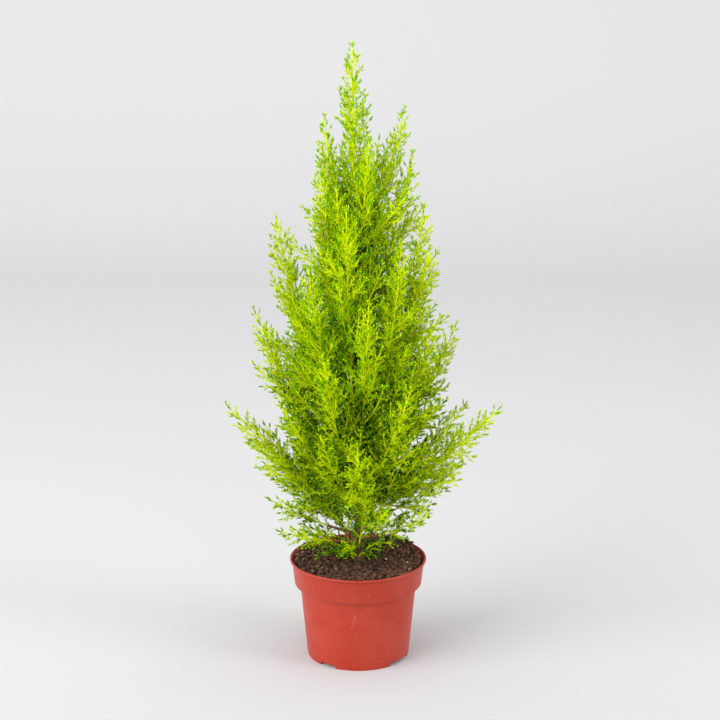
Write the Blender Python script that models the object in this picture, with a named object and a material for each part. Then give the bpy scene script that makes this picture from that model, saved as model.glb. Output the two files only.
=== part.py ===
"""A potted Monterey cypress: a slender golden conifer of ascending boughs in a plastic nursery pot.

The pot stands on its flat underside, whose centre is the origin. The trunk runs up the
middle from the compost to the foot of the leading shoot. Round it stand the boughs, and
each carries one mass of foliage: a stem set with side shoots, all of them barbed with needles.
"""

import math
import random
from collections import namedtuple

import bpy
import bmesh
from mathutils import Vector

# Pot, in metres. A profile's points are (radius, height).
RIM_RADIUS = 0.065
RIM_HEIGHT = 0.0963
RIM_DEPTH = 0.0034
RIM_BEVEL = 0.001
BAND_TOP_RADIUS = 0.0626
BAND_FOOT_RADIUS = 0.0604
BAND_FOOT_HEIGHT = 0.0718
BAND_UNDERSIDE = 0.0006
BODY_TOP_RADIUS = 0.0553
BODY_FOOT_RADIUS = 0.0492
FOOT_RADIUS = 0.0482
FOOT_HEIGHT = 0.0042
WALL = 0.0012
FLOOR = 0.0016
FOOT_RING_WIDTH = 0.0115
FOOT_RING_HEIGHT = 0.0062
POT_SIDES = 36
# The gaps between the pot's feet, as (start, end) in degrees anticlockwise from +X seen from above.
FOOT_GAPS = ((223.5, 242.7), (308.5, 345.0), (43.5, 62.7), (128.5, 165.0))
FOOT_GAP_HEIGHT = 0.0033
FOOT_GAP_DEPTH = 0.0075
FOOT_GAP_SPLAY = math.radians(1.5)
FOOT_GAP_BELOW = 0.002
FOOT_GAP_BEYOND = 0.004

# Compost: level where the trunk stands, banked towards the wall and heaped at the back right.
CLEARANCE = 0.0003
COMPOST_GAP = 0.0004
COMPOST_HEIGHT = 0.0902
COMPOST_EDGE = 0.0893
COMPOST_RELIEF = 0.0011
COMPOST_BANK = 0.0016
COMPOST_HEAP = 0.0024
COMPOST_RINGS = (0.76, 0.52, 0.3)
LEVEL_RADIUS = 0.013

# Trunk
TRUNK_FOOT = 0.0908
TRUNK_TIP = 0.472
PLANT_TOP = 0.584
TRUNK_LEAN = -0.005
TRUNK_SWAY = 0.0022
SWAY_ACROSS = 9
SWAY_DEEP = 7
SWAY_START = 2
TRUNK_FOOT_RADIUS = 0.0036
TRUNK_TIP_RADIUS = 0.0011
FLARE_RADIUS = 0.0062
FLARE_HEIGHT = 0.0042
TRUNK_SIDES = 7
TRUNK_STATIONS = 11
TRUNK_CROWDING = 1.7
LEADER_BOW = 0.0015

# Crown
CROWN_REACH = 0.105
WIDEST_SHARE = 0.31
LOWEST_REACH_SHARE = 0.3
CROWN_TAPER = 0.8
REACH_SCATTER = (0.88, 1.04)
FOLIAGE_COUNT = 44
HIGHEST_SHARE = 0.9
LOWEST_SHARE = 0.045
CROWDING = 0.85
GOLDEN_ANGLE = math.radians(137.508)
FIRST_AZIMUTH = math.radians(20)
STEEPEST = math.radians(12)
FLATTEST = math.radians(47)
SPREAD_FALL = 2.6
ROOT_SCATTER = 14
BOW = 0.07
SAG = -0.3
LEAST_RISE = 0.02
BOW_EXTRA = 0.01
BOUGH_COUNT = 12
BOUGH_SHARE = 0.3
BOUGH_PARTS = 2
BOUGH_SIDES = 5
STEM_START = BOUGH_SHARE + 0.004
LOWEST_ROOT = 0.0125
ROOT_STEP = 0.0024
BOUGH_RADIUS = 0.0019
STEM_RADIUS = 0.0016
STEM_TIP_RADIUS = 0.0004
STEM_PARTS = 5
SEED = 24

# The shoots that stand out of the crown, as (azimuth in degrees, height of tip, reach of tip).
OUTSTANDING = (
    (6, 0.525, 0.046),
    (2, 0.488, 0.053),
    (354, 0.440, 0.064),
    (188, 0.431, 0.072),
    (345, 0.405, 0.072),
    (176, 0.340, 0.093),
    (8, 0.325, 0.098),
    (190, 0.256, 0.124),
    (350, 0.254, 0.137),
    (18, 0.243, 0.112),
    (168, 0.210, 0.111),
    (347, 0.197, 0.101),
    (200, 0.168, 0.094),
    (219, 0.145, 0.098),
    (322, 0.160, 0.088),
)

# Side shoots
SHOOT_SPACING = 0.0115
SHOOT_SHARE = 0.38
STRONG_EVERY = 4
STRONG_SHARE = 0.56
LONGEST_SHOOT = 0.075
SHORTEST_SHOOT = 0.009
SHOOT_ANGLE = math.radians(38)
STRONG_ANGLE = math.radians(25)
FIRST_SHOOT = 0.006
LENGTH_SCATTER = (0.8, 1.1)
ANGLE_SCATTER = (0.85, 1.2)
SPACING_SCATTER = (0.85, 1.15)
SHOOT_LIFT = 0.08
LIFT_BACK = 0.4
SHOOT_RADIUS = 0.0024
SHOOT_ROOT_SHARE = 0.42
SHOOT_LENGTHS = (1.0, 0.8, 0.62, 0.46)
TESTED_PLACES = (0.35, 0.55, 0.75, 0.95)
SHOOT_CLEARANCE = 0.0003
BARB_REACH = 0.0044
BARB_AT_ROOT = 1.15
BARB_FALL = 0.6
BARB_STAGGER = 0.24
BARB_UNDERCUT = 0.0012
LONG_SHOOT = 0.06
LOWEST_FOLIAGE = 0.0985
SHARP_ANGLE = math.radians(35)

Limb = namedtuple("Limb", "name root bend tip")


def clear_scene():
    for obj in list(bpy.data.objects):
        bpy.data.objects.remove(obj)


def material(name, colour, roughness):
    made = bpy.data.materials.new(name)
    made.use_nodes = True
    shader = made.node_tree.nodes["Principled BSDF"]
    shader.inputs["Base Color"].default_value = (*colour, 1.0)
    shader.inputs["Roughness"].default_value = roughness
    shader.inputs["Metallic"].default_value = 0.0
    made.diffuse_color = (*colour, 1.0)
    return made


def add_object(name, mesh, finish, parent):
    obj = bpy.data.objects.new(name, mesh)
    bpy.context.scene.collection.objects.link(obj)
    obj.data.materials.append(finish)
    obj.parent = parent
    return obj


def mesh_from(bm, name, smooth=False):
    bmesh.ops.recalc_face_normals(bm, faces=bm.faces)
    mesh = bpy.data.meshes.new(name)
    bm.to_mesh(mesh)
    bm.free()
    if smooth:
        mesh.shade_smooth()
        mesh.set_sharp_from_angle(angle=SHARP_ANGLE)
    return mesh


# Turned pieces


def spin_profile(bm, profile, sides):
    """A full turn of a profile whose first and last points are on the axis."""
    verts = [bm.verts.new((radius, 0, height)) for radius, height in profile]
    edges = [bm.edges.new(pair) for pair in zip(verts, verts[1:])]
    bmesh.ops.spin(
        bm,
        geom=verts + edges,
        cent=(0, 0, 0),
        axis=(0, 0, 1),
        angle=math.tau,
        steps=sides,
        use_merge=True,
    )
    bmesh.ops.remove_doubles(bm, verts=bm.verts, dist=1e-6)


def pot_profile():
    lip_foot = RIM_HEIGHT - RIM_DEPTH
    inside_step = BAND_FOOT_HEIGHT + WALL
    ring_inner = FOOT_RADIUS - FOOT_RING_WIDTH
    return (
        (0, 0),
        (FOOT_RADIUS, 0),
        (BODY_FOOT_RADIUS, FOOT_HEIGHT),
        (BODY_TOP_RADIUS, BAND_FOOT_HEIGHT - BAND_UNDERSIDE),
        (BAND_FOOT_RADIUS, BAND_FOOT_HEIGHT),
        (BAND_TOP_RADIUS, lip_foot - RIM_BEVEL),
        (RIM_RADIUS, lip_foot),
        (RIM_RADIUS, RIM_HEIGHT - RIM_BEVEL),
        (RIM_RADIUS - RIM_BEVEL, RIM_HEIGHT),
        (BAND_TOP_RADIUS - RIM_BEVEL / 2, RIM_HEIGHT),
        (BAND_TOP_RADIUS - WALL, lip_foot),
        (BAND_FOOT_RADIUS - WALL, inside_step),
        (BODY_TOP_RADIUS - WALL, inside_step - BAND_UNDERSIDE),
        (BODY_FOOT_RADIUS - WALL, FOOT_RING_HEIGHT),
        (ring_inner, FOOT_RING_HEIGHT),
        (ring_inner - RIM_BEVEL, FLOOR),
        (0, FLOOR),
    )


def foot_gap_cutter(name, start, end):
    """A wedge that takes one gap out of the pot's foot, wider at its foot than at its top."""
    bm = bmesh.new()
    inner = FOOT_RADIUS - FOOT_GAP_DEPTH
    outer = BODY_FOOT_RADIUS + FOOT_GAP_BEYOND
    rings = []
    for height, spread in ((-FOOT_GAP_BELOW, FOOT_GAP_SPLAY), (FOOT_GAP_HEIGHT, -FOOT_GAP_SPLAY / 2)):
        first = start - spread
        last = end + spread
        corners = []
        for radius, turn in ((inner, first), (outer, first), (outer, last), (inner, last)):
            corners.append(bm.verts.new((radius * math.cos(turn), radius * math.sin(turn), height)))
        rings.append(corners)
    bm.faces.new(rings[0])
    bm.faces.new(rings[1])
    for i in range(4):
        j = (i + 1) % 4
        bm.faces.new((rings[0][i], rings[0][j], rings[1][j], rings[1][i]))
    cutter = bpy.data.objects.new(name, mesh_from(bm, name))
    bpy.context.scene.collection.objects.link(cutter)
    cutter.hide_render = True
    cutter.display_type = "WIRE"
    return cutter


def make_pot(finish, parent):
    bm = bmesh.new()
    spin_profile(bm, pot_profile(), POT_SIDES)
    pot = add_object("pot", mesh_from(bm, "pot", smooth=True), finish, parent)
    for number, (start, end) in enumerate(FOOT_GAPS, 1):
        cut = pot.modifiers.new(f"foot_gap_{number}", "BOOLEAN")
        cut.operation = "DIFFERENCE"
        cut.solver = "EXACT"
        cut.object = foot_gap_cutter(f"foot_gap_{number}", math.radians(start), math.radians(end))
        cut.object.parent = parent
    return pot


def compost_relief(x, y):
    """How far the compost stands above the level round the trunk at a place."""
    lumps = math.sin(170 * x + 1.1) * math.cos(140 * y - 0.4) + 0.6 * math.sin(330 * y + 260 * x)
    heap = max(0.0, (x + y) / RIM_RADIUS)
    fade = min(1.0, max(0.0, (math.hypot(x, y) - LEVEL_RADIUS) / LEVEL_RADIUS))
    return (COMPOST_RELIEF * lumps + COMPOST_BANK + COMPOST_HEAP * heap) * fade


def make_compost(finish, parent):
    wall = BAND_FOOT_RADIUS - WALL - COMPOST_GAP
    step = BAND_FOOT_HEIGHT + WALL + COMPOST_GAP
    floor = FOOT_RING_HEIGHT + COMPOST_GAP
    slope = (BAND_TOP_RADIUS - BAND_FOOT_RADIUS) / (RIM_HEIGHT - RIM_DEPTH - BAND_FOOT_HEIGHT)
    edge = wall + slope * (COMPOST_EDGE - step)
    profile = [
        (0, floor),
        (BODY_FOOT_RADIUS - WALL - COMPOST_GAP, floor),
        (BODY_TOP_RADIUS - WALL - COMPOST_GAP, step - BAND_UNDERSIDE),
        (wall, step),
        (edge, COMPOST_EDGE),
    ]
    profile += [(edge * share, COMPOST_HEIGHT) for share in COMPOST_RINGS]
    profile.append((0, COMPOST_HEIGHT))
    bm = bmesh.new()
    spin_profile(bm, profile, POT_SIDES)
    for vert in bm.verts:
        if vert.co.z > COMPOST_EDGE + CLEARANCE:
            vert.co.z += compost_relief(vert.co.x, vert.co.y)
    return add_object("compost", mesh_from(bm, "compost"), finish, parent)


# Trunk and crown


def trunk_axis(height):
    """The trunk's centre at a height, with the lean and the slight sway of the real one."""
    share = (height - TRUNK_FOOT) / (PLANT_TOP - TRUNK_FOOT)
    fade = math.sin(math.pi * min(share, 1.0))
    return Vector(
        (
            TRUNK_LEAN * share + TRUNK_SWAY * math.sin(SWAY_ACROSS * share) * fade,
            TRUNK_SWAY * math.sin(SWAY_DEEP * share + SWAY_START) * fade,
            height,
        )
    )


def trunk_radius(height):
    share = (height - TRUNK_FOOT) / (TRUNK_TIP - TRUNK_FOOT)
    flare = (FLARE_RADIUS - TRUNK_FOOT_RADIUS) * math.exp((TRUNK_FOOT - height) / FLARE_HEIGHT)
    return TRUNK_FOOT_RADIUS + (TRUNK_TIP_RADIUS - TRUNK_FOOT_RADIUS) * share + flare


def crown_reach(height):
    """How far the tips of the foliage stand from the trunk at a height."""
    share = (height - TRUNK_FOOT) / (PLANT_TOP - TRUNK_FOOT)
    if share > WIDEST_SHARE:
        return CROWN_REACH * ((1 - share) / (1 - WIDEST_SHARE)) ** CROWN_TAPER
    growth = math.sqrt(max(share, 0) / WIDEST_SHARE)
    return CROWN_REACH * (LOWEST_REACH_SHARE + (1 - LOWEST_REACH_SHARE) * growth)


def tip_point(azimuth, height, reach):
    return trunk_axis(height) + reach * Vector((math.cos(azimuth), math.sin(azimuth), 0))


def tip_places():
    """Where the tips stand, lowest first, as (azimuth, height, reach): a spiral over the crown,
    in which each outstanding shoot takes the place of the nearest one."""
    draw = random.Random(SEED)
    places = []
    for i in range(FOLIAGE_COUNT):
        share = HIGHEST_SHARE - (HIGHEST_SHARE - LOWEST_SHARE) * (i / (FOLIAGE_COUNT - 1)) ** CROWDING
        height = TRUNK_FOOT + share * (PLANT_TOP - TRUNK_FOOT)
        reach = crown_reach(height) * draw.uniform(*REACH_SCATTER)
        places.append((FIRST_AZIMUTH + i * GOLDEN_ANGLE, height, reach))
    for degrees, height, reach in OUTSTANDING:
        place = (math.radians(degrees), height, reach)
        point = tip_point(*place)
        free = [p for p in places if len(p) == 3]
        nearest = min(free, key=lambda p: (tip_point(*p) - point).length)
        places[places.index(nearest)] = (*place, True)
    return sorted((place[:3] for place in places), key=lambda place: place[1])


def limb_point(limb, share):
    """A point on a limb's curve, from its root at 0 to its tip at 1."""
    return (1 - share) ** 2 * limb.root + 2 * share * (1 - share) * limb.bend + share**2 * limb.tip


def limb_direction(limb, share):
    return (2 * (1 - share) * (limb.bend - limb.root) + 2 * share * (limb.tip - limb.bend)).normalized()


def limb_length(limb):
    points = [limb_point(limb, i / 12) for i in range(13)]
    return sum((b - a).length for a, b in zip(points, points[1:]))


def grow_limbs():
    """The centre line of each bough and of the foliage that ends it, lowest first."""
    draw = random.Random(SEED + 1)
    limbs = []
    lowest = TRUNK_FOOT + LOWEST_ROOT
    for number, (azimuth, height, reach) in enumerate(tip_places(), 1):
        share = (height - TRUNK_FOOT) / (PLANT_TOP - TRUNK_FOOT)
        spread = STEEPEST + (FLATTEST - STEEPEST) * (1 - share) ** SPREAD_FALL
        root_height = max(lowest, height - reach / math.tan(spread))
        lowest = root_height + ROOT_STEP
        root_azimuth = azimuth + math.radians(draw.uniform(-ROOT_SCATTER, ROOT_SCATTER))
        outward = Vector((math.cos(root_azimuth), math.sin(root_azimuth), 0))
        tip = tip_point(azimuth, height, reach)
        start = trunk_radius(root_height) + CLEARANCE + BOUGH_RADIUS
        root = trunk_axis(root_height) + start * outward
        rise = tip.z - root.z
        bow = BOW if rise > LEAST_RISE else SAG
        bend = (root + tip) / 2 + bow * (rise + BOW_EXTRA) * outward - bow * Vector((0, 0, reach))
        limbs.append(Limb(f"{number:02d}", root, bend, tip))
    return limbs


def leader_limb():
    """The leading shoot, which goes on from the trunk's tip to the top of the plant."""
    root = trunk_axis(TRUNK_TIP) + Vector((0, 0, CLEARANCE))
    tip = trunk_axis(PLANT_TOP)
    return Limb("leader", root, (root + tip) / 2 - Vector((LEADER_BOW, 0, 0)), tip)


def crosswise(direction):
    """Two unit vectors square to a direction and to each other."""
    side = direction.cross(Vector((0, 0, 1)))
    if side.length < 0.05:
        side = direction.cross(Vector((0, 1, 0)))
    side.normalize()
    return side, side.cross(direction).normalized()


def tube(points, directions, radii, sides):
    """A closed tube through points with a flat cap at each end."""
    bm = bmesh.new()
    rings = []
    for point, direction, radius in zip(points, directions, radii):
        side, up = crosswise(direction)
        ring = []
        for i in range(sides):
            turn = math.tau * i / sides
            ring.append(bm.verts.new(point + radius * (math.cos(turn) * side + math.sin(turn) * up)))
        rings.append(ring)
    for ring, following in zip(rings, rings[1:]):
        for i in range(sides):
            j = (i + 1) % sides
            bm.faces.new((ring[i], ring[j], following[j], following[i]))
    bm.faces.new(rings[0][::-1])
    bm.faces.new(rings[-1])
    return bm


def make_trunk(finish, parent):
    """The trunk widens into its root flare, so its stations stand closer together there."""
    shares = [(i / TRUNK_STATIONS) ** TRUNK_CROWDING for i in range(TRUNK_STATIONS + 1)]
    heights = [TRUNK_FOOT + (TRUNK_TIP - TRUNK_FOOT) * share for share in shares]
    points = [trunk_axis(height) for height in heights]
    upright = [Vector((0, 0, 1))] * len(heights)
    bm = tube(points, upright, [trunk_radius(height) for height in heights], TRUNK_SIDES)
    return add_object("trunk", mesh_from(bm, "trunk", smooth=True), finish, parent)


def make_bough(limb, finish, parent):
    steps = [i / BOUGH_PARTS for i in range(BOUGH_PARTS + 1)]
    points = [limb_point(limb, BOUGH_SHARE * step) for step in steps]
    directions = [limb_direction(limb, BOUGH_SHARE * step) for step in steps]
    radii = [BOUGH_RADIUS + (STEM_RADIUS - BOUGH_RADIUS) * step for step in steps]
    bm = tube(points, directions, radii, BOUGH_SIDES)
    name = f"bough_{limb.name}"
    return add_object(name, mesh_from(bm, name, smooth=True), finish, parent)


# Foliage


def barbed_shoot(shoot, root_radius, barbs, turn):
    """A closed spike with three edges along a shoot's curve, each edge cut into barbs that point forward."""
    bm = bmesh.new()
    length = limb_length(shoot)
    chains = []
    for edge in range(3):
        angle = turn + math.tau * edge / 3

        def corner(share, radius, angle=angle):
            side, up = crosswise(limb_direction(shoot, share))
            offset = radius * (math.cos(angle) * side + math.sin(angle) * up)
            return share, bm.verts.new(limb_point(shoot, share) + offset)

        chain = [corner(0, root_radius)]
        for barb in range(barbs):
            place = (barb + 0.5 + edge * BARB_STAGGER) / (barbs + 0.35)
            core = SHOOT_RADIUS + (STEM_TIP_RADIUS - SHOOT_RADIUS) * place
            chain.append(corner(place, core + BARB_REACH * (BARB_AT_ROOT - BARB_FALL * place)))
            chain.append(corner(place - BARB_UNDERCUT / length, core))
        chains.append(chain)
    at_tip = bm.verts.new(limb_point(shoot, 1))
    for edge in range(3):
        left, right = chains[edge], chains[(edge + 1) % 3]
        i = j = 0
        while i < len(left) - 1 or j < len(right) - 1:
            step_left = j == len(right) - 1 or (i < len(left) - 1 and left[i + 1][0] <= right[j + 1][0])
            if step_left:
                bm.faces.new((left[i][1], right[j][1], left[i + 1][1]))
                i += 1
            else:
                bm.faces.new((left[i][1], right[j][1], right[j + 1][1]))
                j += 1
        bm.faces.new((left[i][1], right[j][1], at_tip))
    bm.faces.new([chain[0][1] for chain in chains][::-1])
    return bm


def stem_radius(share):
    return STEM_RADIUS + (STEM_TIP_RADIUS - STEM_RADIUS) * share


def side_shoots(limb, start, draw):
    """The side shoots of one stem by the crown's rule, as (limb, radius of its root)."""
    length = limb_length(limb)
    shoots = []
    travelled = start * length + FIRST_SHOOT
    turn = draw.uniform(0, math.tau)
    while travelled < length - SHORTEST_SHOOT:
        share = travelled / length
        direction = limb_direction(limb, share)
        side, up = crosswise(direction)
        outward = math.cos(turn) * side + math.sin(turn) * up
        strong = len(shoots) % STRONG_EVERY == 0
        reach = min(LONGEST_SHOOT, (STRONG_SHARE if strong else SHOOT_SHARE) * (length - travelled))
        reach = max(SHORTEST_SHOOT, reach * draw.uniform(*LENGTH_SCATTER))
        angle = (STRONG_ANGLE if strong else SHOOT_ANGLE) * draw.uniform(*ANGLE_SCATTER)
        heading = math.cos(angle) * direction + math.sin(angle) * outward
        root = limb_point(limb, share)
        tip = root + reach * heading
        bend = (root + tip) / 2 + SHOOT_LIFT * reach * (outward - LIFT_BACK * direction)
        shoots.append((Limb(limb.name, root, bend, tip), SHOOT_ROOT_SHARE * stem_radius(share)))
        turn += GOLDEN_ANGLE
        travelled += SHOOT_SPACING * draw.uniform(*SPACING_SCATTER)
    return shoots


def shortened(shoot, share):
    """The same shoot cut down to a share of its length."""
    bend = shoot.root + share * (shoot.bend - shoot.root)
    tip = shoot.root + share * (shoot.tip - shoot.root)
    return Limb(shoot.name, shoot.root, bend, tip)


def distance_to_line(point, line):
    """Distance from a point to a polyline."""
    nearest = math.inf
    for a, b in zip(line, line[1:]):
        along = b - a
        share = max(0.0, min(1.0, (point - a).dot(along) / along.length_squared))
        nearest = min(nearest, (point - a - share * along).length)
    return nearest


def polyline(limb, start, end, parts):
    return [limb_point(limb, start + (end - start) * i / parts) for i in range(parts + 1)]


class Spaces:
    """Each mass's own space: what is nearer to its stem than to any other, clear of wood and pot."""

    def __init__(self, stems, boughs):
        self.lines = {name: polyline(limb, start, 1, 8) for name, (limb, start) in stems.items()}
        self.wood = [polyline(limb, 0, BOUGH_SHARE, 3) for limb in boughs]

    def holds(self, name, point, girth):
        if point.z < LOWEST_FOLIAGE + girth:
            return False
        if point.z < TRUNK_TIP + girth:
            if (point - trunk_axis(point.z)).length < trunk_radius(point.z) + girth + CLEARANCE:
                return False
        own = distance_to_line(point, self.lines[name])
        for other, line in self.lines.items():
            if other != name and distance_to_line(point, line) < own + 2 * girth:
                return False
        return all(distance_to_line(point, line) > BOUGH_RADIUS + girth + CLEARANCE for line in self.wood)


def fitted(shoot, name, spaces, girth):
    """The longest of a few lengths of a shoot that stays in its mass's space, or None."""
    for share in SHOOT_LENGTHS:
        tried = shortened(shoot, share)
        if (tried.tip - tried.root).length < SHORTEST_SHOOT:
            return None
        if all(spaces.holds(name, limb_point(tried, place), girth) for place in TESTED_PLACES):
            return tried
    return None


def keep_largest_shell(mesh):
    """Drops scraps that don't reach the stem, and fills any hollow sealed between the shoots."""
    bm = bmesh.new()
    bm.from_mesh(mesh)
    left = set(bm.faces)
    shells = []
    while left:
        shell = {left.pop()}
        edge_of_shell = list(shell)
        while edge_of_shell:
            face = edge_of_shell.pop()
            for edge in face.edges:
                for near in edge.link_faces:
                    if near in left:
                        left.remove(near)
                        shell.add(near)
                        edge_of_shell.append(near)
        shells.append(shell)
    largest = max(shells, key=lambda shell: sum(face.calc_area() for face in shell))
    loose = [face for face in bm.faces if face not in largest]
    bmesh.ops.delete(bm, geom=loose, context="FACES")
    bm.to_mesh(mesh)
    bm.free()


def fuse(obj, shoots):
    """Joins the shoots' meshes to the stem by one union, and removes the loose ones."""
    group = bpy.data.collections.new("shoots_to_fuse")
    bpy.context.scene.collection.children.link(group)
    for bm in shoots:
        loose = bpy.data.objects.new("shoot", mesh_from(bm, "shoot"))
        group.objects.link(loose)
    union = obj.modifiers.new("fused_shoots", "BOOLEAN")
    union.operation = "UNION"
    union.operand_type = "COLLECTION"
    union.collection = group
    union.solver = "MANIFOLD"
    bpy.context.view_layer.update()
    graph = bpy.context.evaluated_depsgraph_get()
    fused = bpy.data.meshes.new_from_object(obj.evaluated_get(graph))
    keep_largest_shell(fused)
    obj.modifiers.remove(union)
    loose_mesh = obj.data
    obj.data = fused
    obj.data.name = obj.name
    bpy.data.meshes.remove(loose_mesh)
    for loose in list(group.objects):
        mesh = loose.data
        bpy.data.objects.remove(loose)
        bpy.data.meshes.remove(mesh)
    bpy.data.collections.remove(group)


def make_foliage(limb, start, spaces, finish, parent):
    name = f"foliage_{limb.name}"
    draw = random.Random(f"{SEED} {name}")
    shares = [start + (1 - start) * i / STEM_PARTS for i in range(STEM_PARTS + 1)]
    points = [limb_point(limb, share) for share in shares]
    directions = [limb_direction(limb, share) for share in shares]
    stem = tube(points, directions, [stem_radius(share) for share in shares], 3)
    obj = add_object(name, mesh_from(stem, name), finish, parent)
    girth = SHOOT_RADIUS + SHOOT_CLEARANCE
    spikes = []
    for shoot, root_radius in side_shoots(limb, start, draw):
        grown = fitted(shoot, limb.name, spaces, girth)
        turn = draw.uniform(0, math.tau)
        if grown:
            barbs = 2 if (grown.tip - grown.root).length > LONG_SHOOT else 1
            spikes.append(barbed_shoot(grown, root_radius, barbs, turn))
    fuse(obj, spikes)
    return obj


def main():
    clear_scene()
    parent = bpy.data.objects.new("potted_cypress", None)
    bpy.context.scene.collection.objects.link(parent)
    make_pot(material("pot_plastic", (0.55, 0.09, 0.05), 0.42), parent)
    make_compost(material("compost", (0.05, 0.025, 0.015), 0.95), parent)
    bark = material("bark", (0.14, 0.07, 0.035), 0.85)
    needles = material("needles", (0.32, 0.5, 0.03), 0.6)
    make_trunk(bark, parent)
    limbs = grow_limbs()
    woody = limbs[:BOUGH_COUNT]
    stems = {limb.name: (limb, STEM_START if limb in woody else 0.0) for limb in limbs}
    stems["leader"] = (leader_limb(), 0.0)
    spaces = Spaces(stems, woody)
    for limb in woody:
        make_bough(limb, bark, parent)
    for limb, start in stems.values():
        make_foliage(limb, start, spaces, needles, parent)


if __name__ == "__main__":
    main()
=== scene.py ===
"""Looks of a potted Monterey cypress: its plastic pot, peaty compost, bark and golden needles.

The limbs, shoots and tips follow the same rule as the solids do, and the shoots go on
from there to finer twigs that carry the needles.
"""

import math
import random
from collections import namedtuple

import bmesh
import bpy
import numpy as np
from mathutils import Matrix, Vector, noise


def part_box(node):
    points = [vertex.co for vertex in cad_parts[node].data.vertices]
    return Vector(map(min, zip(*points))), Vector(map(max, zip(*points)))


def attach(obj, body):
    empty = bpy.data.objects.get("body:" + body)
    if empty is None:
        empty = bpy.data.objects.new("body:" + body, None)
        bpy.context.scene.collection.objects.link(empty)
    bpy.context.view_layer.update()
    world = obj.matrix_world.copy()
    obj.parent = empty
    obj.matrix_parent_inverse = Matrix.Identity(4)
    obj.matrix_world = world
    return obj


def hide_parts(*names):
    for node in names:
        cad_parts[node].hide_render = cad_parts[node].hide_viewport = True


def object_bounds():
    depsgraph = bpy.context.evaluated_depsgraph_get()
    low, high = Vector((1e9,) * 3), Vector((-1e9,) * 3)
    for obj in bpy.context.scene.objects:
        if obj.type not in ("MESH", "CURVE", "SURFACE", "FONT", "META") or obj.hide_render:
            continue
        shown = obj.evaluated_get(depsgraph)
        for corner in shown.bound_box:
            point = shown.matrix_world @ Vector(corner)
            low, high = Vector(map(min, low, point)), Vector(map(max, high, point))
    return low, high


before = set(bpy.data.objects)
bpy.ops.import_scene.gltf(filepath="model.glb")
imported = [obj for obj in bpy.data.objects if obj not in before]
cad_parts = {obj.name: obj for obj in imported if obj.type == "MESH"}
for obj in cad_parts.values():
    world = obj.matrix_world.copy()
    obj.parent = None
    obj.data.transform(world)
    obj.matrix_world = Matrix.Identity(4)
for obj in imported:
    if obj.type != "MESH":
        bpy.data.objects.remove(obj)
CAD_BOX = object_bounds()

bl_info = {
    "name": "Potted Cypress",
    "version": (1, 0, 0),
    "blender": (4, 5, 0),
    "location": "3D View > Sidebar > Cypress",
    "description": "Dresses a potted golden cypress with its pot, compost, bark and needles",
    "category": "Object",
}

BODY = "root"
POT_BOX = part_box("pot")

# The crown's rule, with the same values as the solids, in metres
TRUNK_FOOT = 0.0908
TRUNK_TIP = 0.472
PLANT_TOP = 0.584
PLANT_RISE = PLANT_TOP - TRUNK_FOOT
TRUNK_LEAN = -0.005
TRUNK_SWAY = 0.0022
SWAY_ACROSS = 9
SWAY_DEEP = 7
SWAY_START = 2
TRUNK_FOOT_RADIUS = 0.0036
TRUNK_TIP_RADIUS = 0.0011
FLARE_RADIUS = 0.0062
FLARE_HEIGHT = 0.0042
LEADER_BOW = 0.0015
CROWN_REACH = 0.105
WIDEST_SHARE = 0.31
LOWEST_REACH_SHARE = 0.3
CROWN_TAPER = 0.8
REACH_SCATTER = (0.88, 1.04)
FOLIAGE_COUNT = 44
HIGHEST_SHARE = 0.9
LOWEST_SHARE = 0.045
CROWDING = 0.85
GOLDEN_ANGLE = math.radians(137.508)
FIRST_AZIMUTH = math.radians(20)
STEEPEST = math.radians(12)
FLATTEST = math.radians(47)
SPREAD_FALL = 2.6
ROOT_SCATTER = 14
BOW = 0.07
SAG = -0.3
LEAST_RISE = 0.02
BOW_EXTRA = 0.01
BOUGH_COUNT = 12
STEM_START = 0.304
LOWEST_ROOT = 0.0125
ROOT_STEP = 0.0024
SEED = 24
OUTSTANDING = (
    (6, 0.525, 0.046),
    (2, 0.488, 0.053),
    (354, 0.440, 0.064),
    (188, 0.431, 0.072),
    (345, 0.405, 0.072),
    (176, 0.340, 0.093),
    (8, 0.325, 0.098),
    (190, 0.256, 0.124),
    (350, 0.254, 0.137),
    (18, 0.243, 0.112),
    (168, 0.210, 0.111),
    (347, 0.197, 0.101),
    (200, 0.168, 0.094),
    (219, 0.145, 0.098),
    (322, 0.160, 0.088),
)
SHOOT_SPACING = 0.0115
SHOOT_SHARE = 0.38
STRONG_EVERY = 4
STRONG_SHARE = 0.56
LONGEST_SHOOT = 0.075
SHORTEST_SHOOT = 0.009
SHOOT_ANGLE = math.radians(38)
STRONG_ANGLE = math.radians(25)
FIRST_SHOOT = 0.006
LENGTH_SCATTER = (0.8, 1.1)
ANGLE_SCATTER = (0.85, 1.2)
SPACING_SCATTER = (0.85, 1.15)
SHOOT_LIFT = 0.08
LIFT_BACK = 0.4
ROOT_DEPTH = 0.6
LEADER_SINK = 0.004
CURVE_STEPS = 12

# Finer growth, which only the looks have. Each order of shoots has its spacing along its carrier,
# the reach it adds at the tip, the share it takes of what is left of its carrier, its least and
# longest reach, its angle, its lift, its pull towards the crown's fan, and how many stand at one place.
Growth = namedtuple("Growth", "spacing extra taper least longest angle lift pull ways")
BRANCHES = Growth(0.0105, 0.0, 0.5, 0.017, 0.06, math.radians(28), 0.1, 0.35, 1)
SIDE_TWIGS = Growth(0.0047, 0.0024, 0.44, 0.0034, 0.0205, math.radians(40), 0.04, 0.12, 2)
SPURS = Growth(0.0040, 0.0012, 0.34, 0.0022, 0.0044, math.radians(42), 0.03, 0.0, 2)
TIP_GAP = 1.3
TIP_GAP_FADE = 0.028
FAN_FOOT = 0.04
LEAST_WITH_SPURS = 0.0095
TIP_ALLOWANCE = 0.0020
INNER_LIMBS = 52
INNER_REACH = (0.35, 0.85)
WOODY_SHARE = 0.3
INNER_DEPTH = 0.035
BARE_DEPTH = 0.08
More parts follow.
